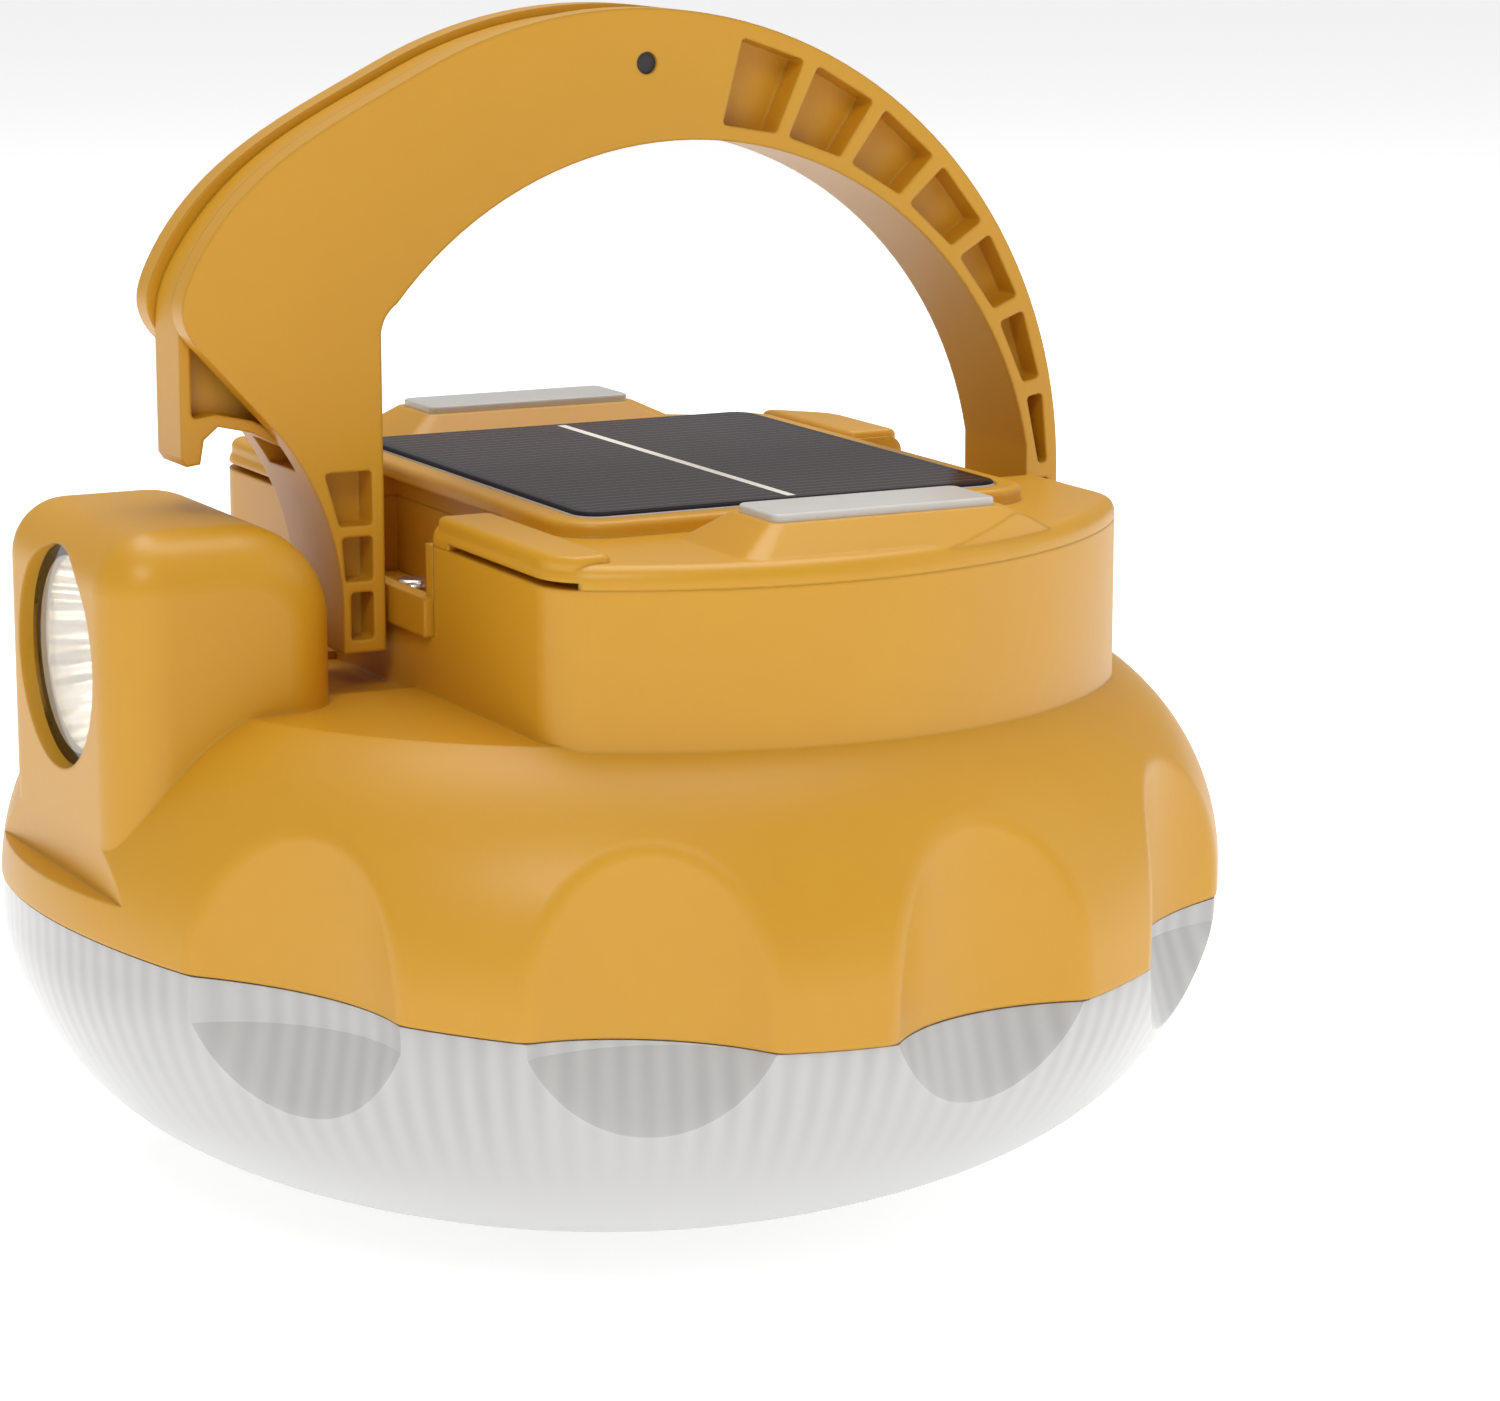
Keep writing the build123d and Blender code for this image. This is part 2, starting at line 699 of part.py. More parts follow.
with BuildPart() as torch_reflector:
    with BuildSketch(Plane.XZ):
        with BuildLine():
            Polyline((-65.2, torch_z + 12.3), (-65.2, torch_z + 10.9))
            ThreePointArc((-65.2, torch_z + 10.9), (-56.5, torch_z + 8.0), (-49.4, torch_z + 3.2))
            Polyline((-49.4, torch_z + 3.2), (-49.4, torch_z + 4.6), (-51, torch_z + 5.8))
            ThreePointArc((-51, torch_z + 5.8), (-57.3, torch_z + 9.6), (-63.7, torch_z + 11.8))
            Polyline((-63.7, torch_z + 11.8), (-63.7, torch_z + 12.3), (-65.2, torch_z + 12.3))
        make_face()
    revolve(axis=torch_axis)
save(torch_reflector, "torch_reflector")

with BuildPart() as torch_led:
    with BuildSketch(Plane.YZ.offset(-48.6)):
        with Locations((0, torch_z)):
            Rectangle(3.4, 3.4)
    extrude(amount=-0.8)
    with BuildSketch(Plane.YZ.offset(-49.4)):
        with Locations((0, torch_z)):
            Circle(1.4)
    dome = extrude(amount=-1.3)
    fillet(dome.faces().sort_by(Axis.X)[0].edges(), 1.1)
save(torch_led, "torch_led")

with BuildPart() as torch_heat_sink:
    with BuildSketch(Plane.YZ.offset(-48.6)):
        with Locations((0, torch_z)):
            Circle(12)
        with Locations((0, torch_z - 4)):
            Circle(1.6, mode=Mode.SUBTRACT)
    extrude(amount=1.6)
save(torch_heat_sink, "torch_heat_sink")

with BuildPart() as torch_seal:
    with BuildSketch(Plane.YZ.offset(-66.0)):
        with Locations((0, torch_z)):
            Circle(12.5)
            Circle(11.2, mode=Mode.SUBTRACT)
    extrude(amount=0.8)
save(torch_seal, "torch_seal")

with BuildPart() as torch_lens:
    with BuildSketch(Plane.YZ.offset(-67.4)):
        with Locations((0, torch_z)):
            Circle(12.5)
    extrude(amount=1.4)
save(torch_lens, "torch_lens")

# ---- Hinge brackets and pivots ----

wall_face_x = torch_flat_x - 0.9

with BuildPart() as torch_bracket:
    with BuildSketch(Plane.XY.offset(recess_floor_z)):
        with Locations((torch_flat_x + recess_depth / 2 + 0.4, 0)):
            Rectangle(recess_depth - 1.2, 33.8)
    extrude(amount=1.5)
    with BuildSketch(Plane.XY.offset(recess_floor_z)):
        with Locations((wall_face_x + 1, 0)):
            Rectangle(2, 33.8)
    extrude(amount=4.4)
    with BuildSketch(Plane.XY.offset(recess_floor_z)):
        with Locations((torch_flat_x + 3.2, 15.9), (torch_flat_x + 3.2, -15.9)):
            Rectangle(6, 2)
    extrude(amount=10.4)
    with BuildSketch(Plane.YZ.offset(wall_face_x)):
        with Locations((0, pivot_z)):
            Circle(pivot_pin_radius)
    extrude(amount=2, mode=Mode.SUBTRACT)
    with BuildSketch(Plane.XY.offset(recess_floor_z)):
        with Locations((bracket_screw_xs[0], 0)):
            Circle(1.25)
    extrude(amount=5, mode=Mode.SUBTRACT)
save(torch_bracket, "torch_bracket")

far_wall_face_x = 2 * mid_x - wall_face_x
boss_face_x = right_leg_inner_x - 0.7

with BuildPart() as far_bracket:
    mirror(torch_bracket.part, about=Plane.YZ.offset(mid_x))
    with BuildSketch(Plane.YZ.offset(far_wall_face_x)):
        with Locations((0, pivot_z)):
            Circle(2.1)
            Circle(pivot_pin_radius, mode=Mode.SUBTRACT)
    extrude(amount=boss_face_x - far_wall_face_x)
save(far_bracket, "far_bracket")

with BuildPart() as bracket_screws:
    for screw_x in bracket_screw_xs:
        with BuildSketch(Plane.XY.offset(66)):
            with Locations((screw_x, 0)):
                Circle(1.25)
        extrude(amount=8)
        with BuildSketch(Plane.XY.offset(recess_floor_z + 1.5)):
            with Locations((screw_x, 0)):
                Circle(3.2)
        extrude(amount=0.6)
        with BuildSketch(Plane.XY.offset(recess_floor_z + 2.1)):
            with Locations((screw_x, 0)):
                Circle(2.4)
        head = extrude(amount=1.6)
        fillet(head.faces().sort_by(Axis.Z)[-1].edges(), 1.1)
save(bracket_screws, "bracket_screws")

pin_spans = {
    "torch_side_pivot_pin": (-36.6, wall_face_x + 2),
    "far_side_pivot_pin": (far_wall_face_x - 2, right_leg_outer_x - 0.6),
}
for name, (start_x, end_x) in pin_spans.items():
    with BuildPart() as pin:
        with BuildSketch(Plane.YZ.offset(start_x)):
            with Locations((0, pivot_z)):
                Circle(pivot_pin_radius)
        extrude(amount=end_x - start_x)
    save(pin, name)

with BuildPart() as pivot_washers:
    for start_x in (left_leg_inner_x + 0.1, boss_face_x):
        with BuildSketch(Plane.YZ.offset(start_x)):
            with Locations((0, pivot_z)):
                Circle(2.9)
                Circle(pivot_pin_radius, mode=Mode.SUBTRACT)
        extrude(amount=0.6)
save(pivot_washers, "pivot_washers")

# ---- Handle ----

pin_centre = (hook_pin_x, hook_pin_z)
hook_inner_radius = 45.5

with BuildPart() as handle:
    with BuildSketch(Plane.XZ) as handle_outline:
        with BuildLine():
            right_leg = Polyline((right_leg_inner_x, 86), (right_leg_inner_x, leg_foot_z),
                                 (right_leg_outer_x, leg_foot_z), (right_leg_outer_x, arch_centre[1]))
            arch = CenterArc(arch_centre, arch_radius, 0, 117)
            shoulder = Spline(arch @ 1, (-47.2, 121.5), (-54.4, 112.2), (-55.6, 107.6), (-53.3, 103.4),
                              tangents=[arch % 1, (0.75, -0.66)])
            diagonal = Line(shoulder @ 1, (-44.2, 93.4))
            neck = ThreePointArc(diagonal @ 1, (-39.2, 84.5), (-37.1, 71))
            Polyline(neck @ 1, (-37.1, leg_foot_z), (left_leg_inner_x, leg_foot_z), (left_leg_inner_x, 104.5))
            blend = ThreePointArc((left_leg_inner_x, 104.5), (-31.4, 106.3), (-30, 107.75))
            inner_arch = ThreePointArc(blend @ 1, (8, 124.8), right_leg @ 0)
        make_face()
    extrude(amount=handle_half_width, both=True)
    # channel for the hook, with room for it to swing out
    with BuildSketch(Plane.XZ):
        with BuildLine():
            floor_arc = CenterArc(arch_centre, hook_inner_radius - 0.4, 90, 41)
            Polyline(floor_arc @ 1, (-41.9, 103.9), (-38.2, 89), (-75, 89), (-75, 150), (7.3, 150),
                     (7.3, hook_pin_z), (hook_pin_x, hook_pin_z), floor_arc @ 0)
        make_face()
        with Locations(pin_centre):
            Circle(5.8)
    extrude(amount=channel_half_width, both=True, mode=Mode.SUBTRACT)
    # hole for the hook's pin
    with BuildSketch(Plane.XZ):
        with Locations(pin_centre):
            Circle(hook_pin_radius)
    extrude(amount=handle_half_width, both=True, mode=Mode.SUBTRACT)
    # pivot holes in the legs
    with BuildSketch(Plane.YZ.offset(-36.8)):
        with Locations((0, pivot_z)):
            Circle(pivot_pin_radius + running_gap)
    extrude(amount=6, mode=Mode.SUBTRACT)
    with BuildSketch(Plane.YZ.offset(right_leg_inner_x - 1)):
        with Locations((0, pivot_z)):
            Circle(pivot_pin_radius + running_gap)
    extrude(amount=right_leg_outer_x - right_leg_inner_x + 0.7, mode=Mode.SUBTRACT)

# pockets along the right half: between the rims of the arch, radially divided
pocket_count = 7
pocket_pitch = 10.9
pocket_sweep = 8.9
pocket_first_angle = 75.2
inner_centre = (6.27, 77.78)
inner_radius = 47.05
to_inner = (arch_centre[0] - inner_centre[0], arch_centre[1] - inner_centre[1])


def rim_distance(angle):
    """Distance from the arch's centre to its inner edge."""
    along = to_inner[0] * cos(radians(angle)) + to_inner[1] * sin(radians(angle))
    return -along + sqrt(along ** 2 - to_inner[0] ** 2 - to_inner[1] ** 2 + inner_radius ** 2)


def arch_point(radius, angle):
    """Point at a radius and angle about the arch's centre."""
    return (arch_centre[0] + radius * cos(radians(angle)), arch_centre[1] + radius * sin(radians(angle)))


with BuildPart() as pockets:
    with BuildSketch(Plane.XZ) as pocket_sketch:
        for index in range(pocket_count):
            start = pocket_first_angle - index * pocket_pitch
            end = start - pocket_sweep
            rim = 1.3 + 0.08 * (pocket_count - index)
            corners = [
                arch_point(arch_radius - rim, start), arch_point(arch_radius - rim, end),
                arch_point(rim_distance(end) + rim, end), arch_point(rim_distance(start) + rim, start)]
            Polygon(*corners, align=None)
        Polygon((53.7, 76.6), (55.8, 76.6), (55.8, 82), (53.7, 82), align=None)
        Polygon((53.7, 69.7), (55.8, 69.7), (55.8, 75.3), (53.7, 75.3), align=None)
        Polygon((-36.2, 69.5), (-33.4, 69.5), (-33.4, 75.1), (-36.2, 75.1), align=None)
        Polygon((-36.8, 76.3), (-33.4, 76.3), (-33.4, 81.5), (-37.2, 81.5), align=None)
        Polygon((-37.4, 82.7), (-33.4, 82.7), (-33.4, 89), (-39.2, 89), align=None)
        fillet(pocket_sketch.vertices(), 0.5)
    extrude(amount=20, both=True)

with BuildPart() as pocket_web:
    Box(200, 7.0, 400)

with BuildPart() as pocket_cutter:
    add(pockets.part)
    add(pocket_web.part, mode=Mode.SUBTRACT)

with BuildPart() as finished_handle:
    add(handle.part)
    add(pocket_cutter.part, mode=Mode.SUBTRACT)
save(finished_handle, "handle")

# ---- Swing hook ----

with BuildPart() as hook:
    with BuildSketch(Plane.XZ):
        with BuildLine():
            back = CenterArc(arch_centre, arch_radius - 0.9, 92, 25)
            outside = Spline(back @ 1, (-46.5, 120.6), (-53.3, 111.8), (-54.8, 105),
                             tangents=[back % 1, (0, -1)])
            nose = Polyline(outside @ 1, (-54.8, 91.2), (-54.2, 90.3), (-52.6, 90.5), (-52.1, 93.2),
                            (-50.4, 94.6), (-46.4, 93.7), (-41.8, 91.4), (-39.2, 91.2), (-42.6, 104))
            belly = CenterArc(arch_centre, hook_inner_radius, 131, -40)
            Line(nose @ 1, belly @ 0)
            Line(belly @ 1, back @ 0)
        make_face()
        with Locations(pin_centre):
            Circle(5.3)
    extrude(amount=hook_half_width, both=True)
    # hollow nose, open to the front and the back round a middle web
    for side in (1, -1):
        with BuildSketch(Plane.XZ.offset(side * hook_web / 2)) as hollow:
            Polygon((-53.5, 104), (-53.5, 95.6), (-50.6, 96.0), (-46.2, 95.0), (-42.2, 93.0), (-44.2, 103),
                    align=None)
            fillet(hollow.vertices(), 0.6)
        extrude(amount=side * 20, mode=Mode.SUBTRACT)
    with BuildSketch(Plane.XZ):
        with Locations(pin_centre):
            Circle(hook_pin_radius + running_gap)
    extrude(amount=20, both=True, mode=Mode.SUBTRACT)
save(hook, "hook")

with BuildPart() as hook_pin:
    with BuildSketch(Plane.XZ):
        with Locations(pin_centre):
            Circle(hook_pin_radius)
    extrude(amount=handle_half_width - 0.5, both=True)
save(hook_pin, "hook_pin")
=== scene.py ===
import bmesh
import bpy
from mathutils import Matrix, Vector


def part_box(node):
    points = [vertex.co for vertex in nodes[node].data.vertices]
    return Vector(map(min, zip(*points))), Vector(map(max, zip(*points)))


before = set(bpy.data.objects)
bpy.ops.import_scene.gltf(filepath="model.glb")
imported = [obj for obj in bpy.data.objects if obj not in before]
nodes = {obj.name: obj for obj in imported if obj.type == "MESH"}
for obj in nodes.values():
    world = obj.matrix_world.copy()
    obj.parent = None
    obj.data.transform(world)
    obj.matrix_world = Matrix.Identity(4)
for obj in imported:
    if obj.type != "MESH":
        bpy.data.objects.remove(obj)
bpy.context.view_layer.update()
scene = bpy.context.scene


# camera, floor and soft light

cameraSet = {
    "place": (-0.2289, -0.48375, 0.1681),
    "aim": (0.4464, 0.8725, -0.2020),
    "lens": 109.73,
    "sensor": 36,
}

studio = {
    "floorSize": 12,
    "floorColour": (0.93, 0.93, 0.93, 1),
    "floorGlow": 0.56,
    "skyColour": (1, 1, 1, 1),
    "skyStrength": 0.38,
    "lamps": {  # place, aim, size, power, colour
        "softboxLeft": ((-0.55, -0.75, 0.85), (0, 0, 0.06), 0.35, 3.6, (1, 0.98, 0.95)),
        "softboxTop": ((0.15, 0.25, 1.1), (0, 0, 0.07), 0.9, 8.5, (1, 1, 1)),
        "softboxRight": ((0.9, -0.5, 0.45), (0, 0, 0.06), 0.8, 1.5, (1, 1, 1)),
    },
}


def makeCamera():
    data = bpy.data.cameras.new("camera")
    data.lens = cameraSet["lens"]
    data.sensor_width = cameraSet["sensor"]
    data.clip_start = 0.01
    data.clip_end = 50
    camera = bpy.data.objects.new("camera", data)
    camera.location = cameraSet["place"]
    camera.rotation_mode = "QUATERNION"
    camera.rotation_quaternion = Vector(cameraSet["aim"]).to_track_quat("-Z", "Y")
    scene.collection.objects.link(camera)
    scene.camera = camera


def makeStudio():
    plane = bmesh.new()
    bmesh.ops.create_grid(plane, x_segments=1, y_segments=1, size=studio["floorSize"] / 2)
    floor = meshObject("floor", plane)
    paint = plainFinish("floorPaint", studio["floorColour"], 0.9)
    paintShader = paint.node_tree.nodes["Principled BSDF"]
    paintShader.inputs["Emission Color"].default_value = studio["floorColour"]
    paintShader.inputs["Emission Strength"].default_value = studio["floorGlow"]
    floor.data.materials.append(paint)
    world = bpy.data.worlds.new("studio")
    world.use_nodes = True
    sky = world.node_tree.nodes["Background"]
    sky.inputs["Color"].default_value = studio["skyColour"]
    sky.inputs["Strength"].default_value = studio["skyStrength"]
    scene.world = world
    for name, (place, aim, size, power, colour) in studio["lamps"].items():
        data = bpy.data.lights.new(name, "AREA")
        data.size = size
        data.energy = power
        data.color = colour
        lamp = bpy.data.objects.new(name, data)
        lamp.location = place
        lamp.rotation_mode = "QUATERNION"
        lamp.rotation_quaternion = (Vector(aim) - Vector(place)).to_track_quat("-Z", "Y")
        scene.collection.objects.link(lamp)
    scene.view_settings.view_transform = "Standard"


def meshObject(name, form):
    data = bpy.data.meshes.new(name)
    form.to_mesh(data)
    form.free()
    made = bpy.data.objects.new(name, data)
    scene.collection.objects.link(made)
    return made


# shader maths: a wrapped socket adds, multiplies and compares like a number

class Shade:
    def __init__(self, tree, socket=None):
        self.tree = tree
        self.socket = socket

    def node(self, kind, settings, inputs, output=0):
        made = self.tree.nodes.new(kind)
        for name, value in settings.items():
            setattr(made, name, value)
        for name, value in inputs.items():
            if isinstance(value, Shade):
                self.tree.links.new(value.socket, made.inputs[name])
            else:
                made.inputs[name].default_value = value
        return Shade(self.tree, made.outputs[output])

    def maths(self, operation, left, right=0.0):
        return self.node("ShaderNodeMath", {"operation": operation}, {0: left, 1: right})

    def __add__(self, other):
        return self.maths("ADD", self, other)

    def __mul__(self, other):
        return self.maths("MULTIPLY", self, other)

    def __sub__(self, other):
        return self.maths("SUBTRACT", self, other)

    def __truediv__(self, other):
        return self.maths("DIVIDE", self, other)

    def __lt__(self, other):
        return self.maths("LESS_THAN", self, other)

    def __abs__(self):
        return self.maths("ABSOLUTE", self)


def startFinish(name, settings):
    # a material with its principled shader; settings are that shader's plain values
    material = bpy.data.materials.new(name)
    material.use_nodes = True
    tree = material.node_tree
    shader = tree.nodes["Principled BSDF"]
    for key, value in settings.items():
        shader.inputs[key].default_value = value
    return material, Shade(tree), shader


def feed(shade, shader, **links):
    # joins values to the shader's sockets; underscores stand for spaces
    for key, value in links.items():
        shade.tree.links.new(value.socket, shader.inputs[key.replace("_", " ")])


def objectPlace(shade):
    return shade.node("ShaderNodeTexCoord", {}, {}, "Object")


def axesOf(shade, place):
    # the x, y and z of a place, each as a shade
    parts = shade.node("ShaderNodeSeparateXYZ", {}, {"Vector": place})
    outputs = parts.socket.node.outputs
    return [Shade(shade.tree, outputs[axis]) for axis in ("X", "Y", "Z")]


def noise(shade, place, scale, detail=2.0, rough=0.5):
    return shade.node("ShaderNodeTexNoise", {}, {
        "Vector": place, "Scale": scale, "Detail": detail, "Roughness": rough})


def blend(shade, factor, low, high):
    return shade.node("ShaderNodeMix", {"data_type": "RGBA"}, {0: factor, 6: low, 7: high}, 2)


def bump(shade, height, strength, distance, base=None):
    inputs = {"Height": height, "Strength": strength, "Distance": distance}
    if base:
        inputs["Normal"] = base
    return shade.node("ShaderNodeBump", {}, inputs)


def spread(shade, value, low, high):
    # a 0..1 value spread between two plain numbers
    return value * (high - low) + low


def plainFinish(name, colour, roughness):
    material, shade, shader = startFinish(name, {"Base Color": colour, "Roughness": roughness})
    return material


# finishes

yellowPlastic = {
    "colour": (0.67, 0.345, 0.013, 1),
    "deepColour": (0.58, 0.275, 0.010, 1),
    "rough": (0.36, 0.50),
    "grain": 1500,
    "grainDepth": 0.00003,
    "grainBump": 0.35,
    "cloud": 22,
    "scuff": 160,
    "cloudShare": 0.7,
    "scuffShare": 0.6,
    "edgeRound": 0.0006,
    "edgeSamples": 6,
}


def yellowFinish():
    material, shade, shader = startFinish("yellowPlastic", {
        "Specular IOR Level": 0.5, "Subsurface Weight": 0.05, "Subsurface Scale": 0.0015,
        "Subsurface Radius": (1.0, 0.5, 0.1), "Coat Weight": 0.12, "Coat Roughness": 0.28})
    place = objectPlace(shade)
    cloud = noise(shade, place, yellowPlastic["cloud"], 3)
    grain = noise(shade, place, yellowPlastic["grain"], 2, 0.6)
    scuff = noise(shade, place, yellowPlastic["scuff"], 4, 0.7)
    softEdge = shade.node("ShaderNodeBevel", {"samples": yellowPlastic["edgeSamples"]}, {
        "Radius": yellowPlastic["edgeRound"]})
    mottle = cloud * yellowPlastic["cloudShare"] + scuff * (1 - yellowPlastic["cloudShare"])
    wear = scuff * yellowPlastic["scuffShare"] + grain * (1 - yellowPlastic["scuffShare"])
    colour = blend(shade, mottle, yellowPlastic["deepColour"], yellowPlastic["colour"])
    feed(shade, shader, Base_Color=colour,
         Roughness=spread(shade, wear, *yellowPlastic["rough"]),
         Normal=bump(shade, grain, yellowPlastic["grainBump"], yellowPlastic["grainDepth"], softEdge))
    return material


diffuserPlastic = {
    "colour": (0.56, 0.56, 0.55, 1),
    "shade": (0.35, 0.35, 0.36, 1),
    "prisms": 150,
    "bandLow": 0.014,
    "bandHigh": 0.030,
    "patch": 60,
    "haze": 14,
    "ribShadeShare": 0.55,
    "hazeShare": 0.25,
    "rough": (0.24, 0.38),
    "grain": 900,
    "grainBump": 0.12,
    "grainDepth": 0.00002,
}


def diffuserFinish():
    material, shade, shader = startFinish("diffuserPlastic", {
        "Subsurface Weight": 0.3, "Subsurface Scale": 0.004, "Subsurface Radius": (1, 1, 1),
        "Specular IOR Level": 0.45, "Coat Weight": 0.25, "Coat Roughness": 0.18})
    place = objectPlace(shade)
    across, along, height = axesOf(shade, place)
    turn = shade.maths("ARCTAN2", along, across)
    prism = shade.maths("SINE", turn * diffuserPlastic["prisms"])
    patch = noise(shade, place, diffuserPlastic["patch"], 2)
    band = shade.node("ShaderNodeMapRange", {"interpolation_type": "SMOOTHSTEP"}, {
        "Value": height, "From Min": diffuserPlastic["bandLow"], "From Max": diffuserPlastic["bandHigh"]})
    # painted shade: darker vertical streaks in the upper band stand for the shading of the inner prism ribs
    streak = (prism * 0.5 + 0.5) * band * patch
    haze = noise(shade, place, diffuserPlastic["haze"], 2)
    grain = noise(shade, place, diffuserPlastic["grain"], 2)
    # the shade colour is reached through painted rib shade plus random haze in tone
    ribShadeAndHaze = streak * diffuserPlastic["ribShadeShare"] + haze * diffuserPlastic["hazeShare"]
    colour = blend(shade, ribShadeAndHaze, diffuserPlastic["colour"], diffuserPlastic["shade"])
    feed(shade, shader, Base_Color=colour,
         Roughness=spread(shade, haze, *diffuserPlastic["rough"]),
         Normal=bump(shade, grain, diffuserPlastic["grainBump"], diffuserPlastic["grainDepth"]))
    return material


panelGlass = {
    "cell": (0.018, 0.011, 0.016, 1),
    "cellWarm": (0.045, 0.026, 0.026, 1),
    "gap": (0.022, 0.018, 0.022, 1),
    "grid": (0.16, 0.14, 0.16, 1),
    "gridPitch": 0.0019,
    "gridWidth": 0.12,
    "ribbon": (0.92, 0.90, 0.84, 1),
    # painted highlight: light grey colour standing for the gleam on the panel's epoxy edge
    "edge": (0.62, 0.63, 0.62, 1),
    "edgeDepth": 0.0004,
    "ribbonX": 0.008,
    "ribbonWidth": 0.0011,
    "gridShare": 0.6,
    "tone": 40,
    "wave": 35,
    "waveBump": 0.12,
    "waveDepth": 0.0004,
}


def panelFinish():
    low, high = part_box("solar_panel")
    cellLow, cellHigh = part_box("solar_cells")
    middle = (low + high) / 2
    material, shade, shader = startFinish("panelGlass", {
        "Roughness": 0.16, "Specular IOR Level": 0.02})
    place = objectPlace(shade)
    across, along, height = axesOf(shade, place)
    fromMiddleX = abs(across - middle.x)
    fromMiddleY = abs(along - middle.y)
    # whole pitches are added so that the fraction is taken of a positive number
    line = shade.maths("FRACT", along / panelGlass["gridPitch"] + 100) < panelGlass["gridWidth"]
    inCell = (fromMiddleX < (cellHigh.x - cellLow.x) / 2) * (fromMiddleY < (cellHigh.y - cellLow.y) / 2)
    tone = noise(shade, place, panelGlass["tone"], 3)
    cell = blend(shade, tone, panelGlass["cell"], panelGlass["cellWarm"])
    cell = blend(shade, line * panelGlass["gridShare"], cell, panelGlass["grid"])
    colour = blend(shade, inCell, panelGlass["gap"], cell)
    ribbon = (abs(across - panelGlass["ribbonX"]) < panelGlass["ribbonWidth"] / 2) * inCell
    colour = blend(shade, ribbon, colour, panelGlass["ribbon"])
    # painted highlight: the side band just below the panel's top is painted light grey as the gleam on its
    # epoxy edge
    colour = blend(shade, height < high.z - panelGlass["edgeDepth"], colour, panelGlass["edge"])
    wave = noise(shade, place, panelGlass["wave"], 1)
    feed(shade, shader, Base_Color=colour,
         Normal=bump(shade, wave, panelGlass["waveBump"], panelGlass["waveDepth"]))
    return material


def noisyFinish(name, colour, shadeColour, rough, scale, settings=None, depth=0.00002):
    # moulded, rolled or dyed surface whose colour and gloss wander a little
    material, shade, shader = startFinish(name, settings or {})
    place = objectPlace(shade)
    cloud = noise(shade, place, scale, 3)
    grain = noise(shade, place, scale * 8, 2)
    feed(shade, shader, Base_Color=blend(shade, cloud, colour, shadeColour),
         Roughness=spread(shade, grain, *rough), Normal=bump(shade, grain, 0.3, depth))
    return material


def clearFinish(name, colour, roughness, clearness=1.0):
    material, shade, shader = startFinish(name, {
        "Base Color": colour, "IOR": 1.3, "Transmission Weight": clearness, "Coat Weight": 0.1})
    wisp = noise(shade, objectPlace(shade), 260, 2)
    feed(shade, shader, Roughness=spread(shade, wisp, roughness, roughness + 0.05))
    return material


reflectorMetalAndPaintedGlow = {
    "metal": (0.93, 0.90, 0.84, 1),
    "glow": (1.0, 0.80, 0.50, 1),
    "dim": (0.42, 0.30, 0.16, 1),
    "facets": 26,
    "glowStrength": 0.16,
    "streak": 420,
    "facetShare": 0.55,
    "rough": (0.12, 0.3),
    "facetBump": 0.6,
    "facetDepth": 0.0004,
}


def reflectorFinish():
    low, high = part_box("torch_reflector")
    middle = (low + high) / 2
    # painted reflection: the emission makes the reflector, which is no lamp, glow with warm facet streaks
    material, shade, shader = startFinish("reflectorMetalAndPaintedGlow", {
        "Base Color": reflectorMetalAndPaintedGlow["metal"], "Metallic": 1.0,
        "Emission Strength": reflectorMetalAndPaintedGlow["glowStrength"]})
    place = objectPlace(shade)
    along, height = axesOf(shade, place)[1:]
    turn = shade.maths("ARCTAN2", height - middle.z, along)
    facet = shade.maths("SINE", turn * reflectorMetalAndPaintedGlow["facets"]) * 0.5 + 0.5
    streak = noise(shade, place, reflectorMetalAndPaintedGlow["streak"], 3)
    gleam = facet * reflectorMetalAndPaintedGlow["facetShare"] + streak * (1 - reflectorMetalAndPaintedGlow["facetShare"])
    glow = blend(shade, gleam, reflectorMetalAndPaintedGlow["dim"], reflectorMetalAndPaintedGlow["glow"])
    feed(shade, shader, Emission_Color=glow, Roughness=spread(shade, streak, *reflectorMetalAndPaintedGlow["rough"]),
         Normal=bump(shade, facet, reflectorMetalAndPaintedGlow["facetBump"], reflectorMetalAndPaintedGlow["facetDepth"]))
    return material


def lampFinish(name, strength):
    material, shade, shader = startFinish(name, {"Emission Strength": strength, "Roughness": 0.35})
    speck = noise(shade, objectPlace(shade), 1500, 2)
    feed(shade, shader, Base_Color=blend(shade, speck, (0.95, 0.80, 0.30, 1), (0.9, 0.66, 0.18, 1)),
         Emission_Color=blend(shade, speck, (1, 0.86, 0.6, 1), (1, 0.8, 0.5, 1)))
    return material


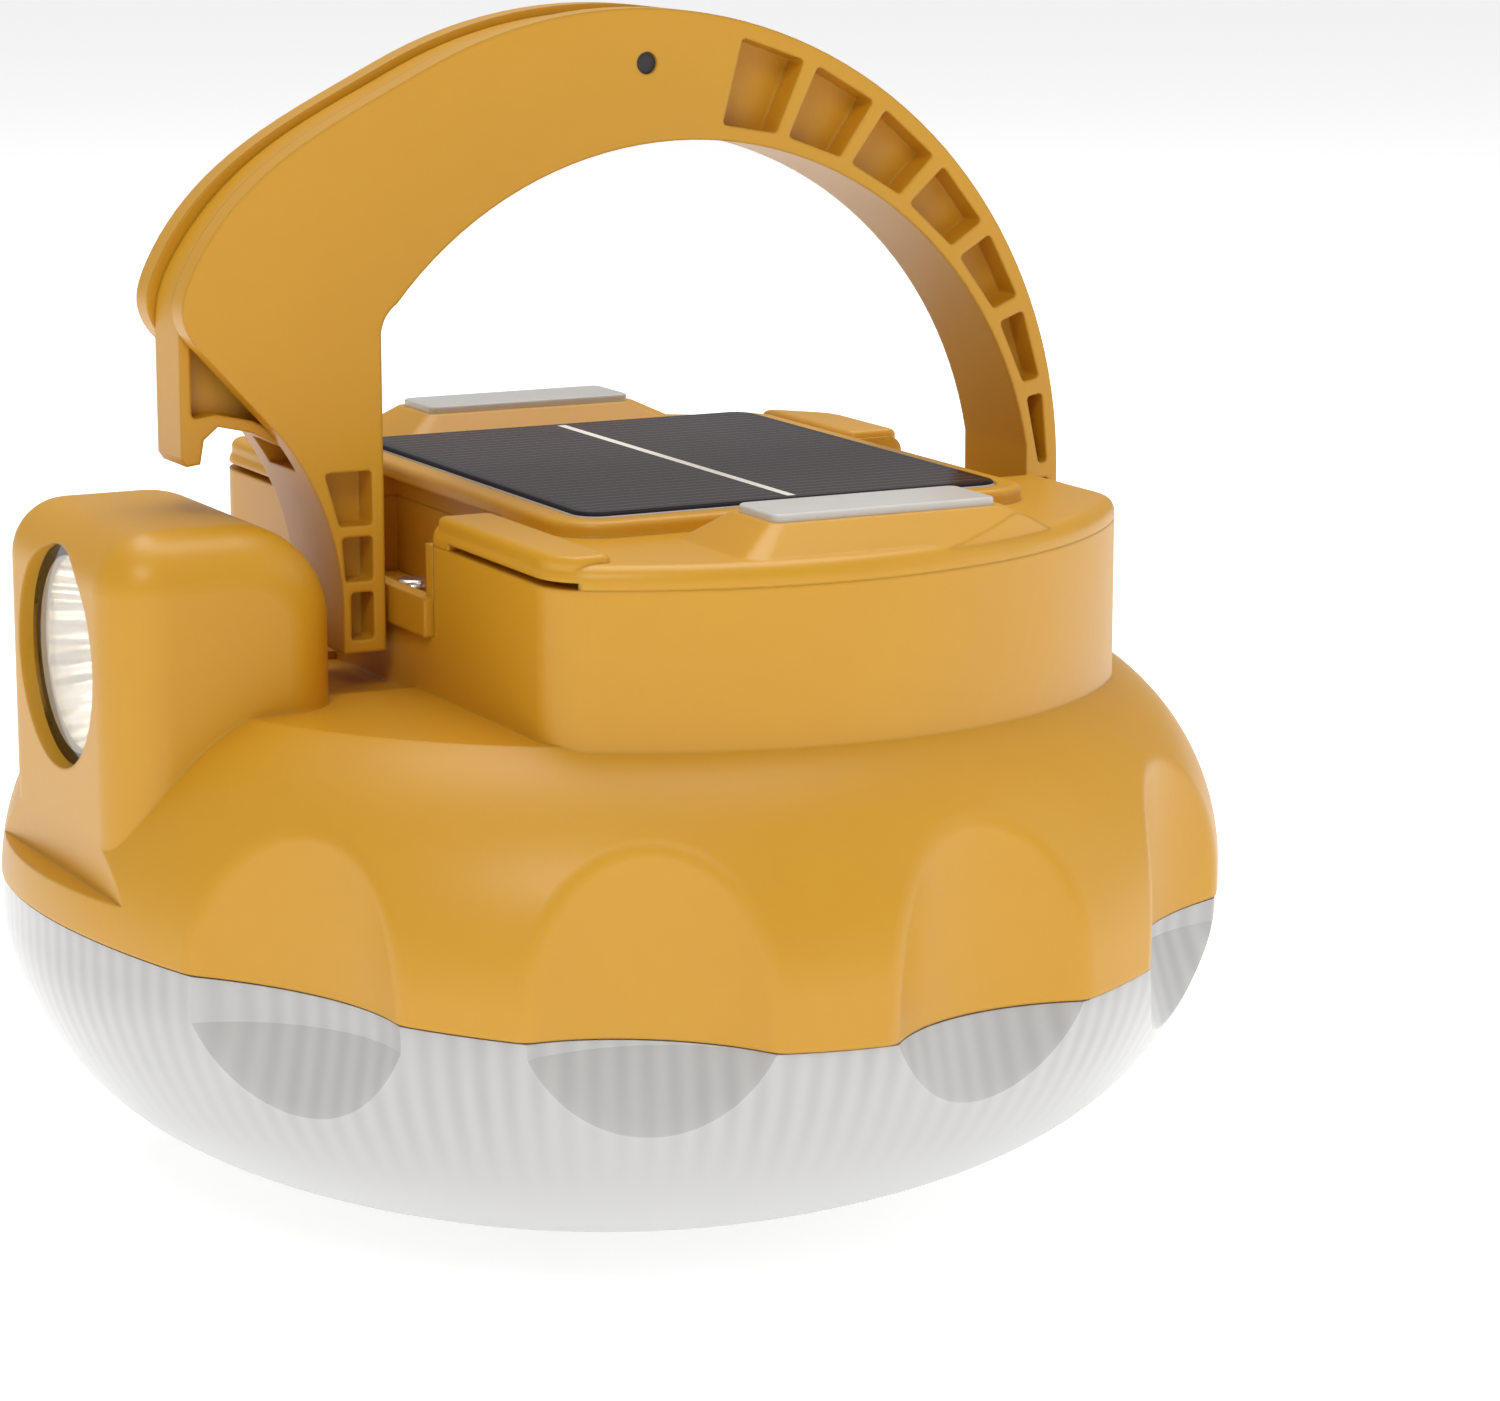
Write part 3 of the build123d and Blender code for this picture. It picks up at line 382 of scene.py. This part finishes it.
def dressNodes():
    yellow = yellowFinish()
    steel = noisyFinish("nickelPlate", (0.75, 0.74, 0.72, 1), (0.62, 0.61, 0.59, 1), (0.16, 0.32), 300,
                        {"Metallic": 1.0})
    board = noisyFinish("boardMask", (0.86, 0.87, 0.86, 1), (0.78, 0.79, 0.78, 1), (0.3, 0.42), 200)
    greenBoard = noisyFinish("boardGreen", (0.02, 0.14, 0.06, 1), (0.015, 0.10, 0.05, 1), (0.3, 0.42), 260)
    white = noisyFinish("whiteMoulding", (0.82, 0.82, 0.80, 1), (0.74, 0.74, 0.72, 1), (0.35, 0.5), 120)
    rubber = noisyFinish("darkRubber", (0.035, 0.035, 0.036, 1), (0.055, 0.055, 0.056, 1), (0.6, 0.78), 240)
    silicone = noisyFinish("paleSilicone", (0.66, 0.66, 0.63, 1), (0.58, 0.58, 0.55, 1), (0.5, 0.65), 180)
    frosted = clearFinish("frostedMoulding", (0.88, 0.87, 0.84, 1), 0.22, 0.35)
    clear = clearFinish("clearMoulding", (0.97, 0.98, 0.98, 1), 0.04)
    finishes = {
        yellow: ["skirt_housing", "solar_lid", "handle", "hook", "torch_bracket", "far_bracket"],
        diffuserFinish(): ["diffuser"],
        panelFinish(): ["solar_panel"],
        noisyFinish("siliconCell", (0.02, 0.014, 0.02, 1), (0.05, 0.03, 0.03, 1), (0.2, 0.35), 90):
            ["solar_cells"],
        noisyFinish("tinnedRibbon", (0.85, 0.85, 0.84, 1), (0.72, 0.72, 0.7, 1), (0.25, 0.4), 400,
                    {"Metallic": 0.6}): ["solar_busbar"],
        clear: ["torch_lens"],
        frosted: ["side_window_front", "side_window_back"],
        board: ["side_led_board_front", "side_led_board_back", "led_board"],
        greenBoard: ["control_board"],
        lampFinish("lampChip", 0.35): ["side_leds", "main_leds"],
        lampFinish("torchLamp", 1.2): ["torch_led"],
        silicone: ["lid_seal", "diffuser_seal", "torch_seal"],
        white: ["led_tray", "battery_holder"],
        noisyFinish("cellWrap", (0.03, 0.14, 0.42, 1), (0.02, 0.10, 0.34, 1), (0.2, 0.3), 80):
            ["battery_cells"],
        # black plastic for the switch and USB tongue; on the hook pin it is painted shade standing for the
        # dark pivot dimple
        noisyFinish("blackPlasticAndPaintedPinShade", (0.02, 0.02, 0.02, 1), (0.035, 0.035, 0.035, 1), (0.4, 0.55), 300):
            ["button_switch", "usb_c_tongue", "hook_pin"],
        steel: ["lid_screws", "tray_screws", "board_screws", "bracket_screws", "torch_side_pivot_pin",
                "far_side_pivot_pin", "pivot_washers", "usb_c_port"],
        rubber: ["power_button", "port_cover"],
        reflectorFinish(): ["torch_reflector"],
        noisyFinish("heatSinkMetal", (0.7, 0.7, 0.7, 1), (0.6, 0.6, 0.6, 1), (0.3, 0.45), 200,
                    {"Metallic": 1.0}): ["torch_heat_sink"],
    }
    for material, names in finishes.items():
        for name in names:
            mesh = nodes[name].data
            mesh.materials.clear()
            mesh.materials.append(material)


print("stage: camera and studio")
makeCamera()
makeStudio()
print("stage: finishes")
dressNodes()
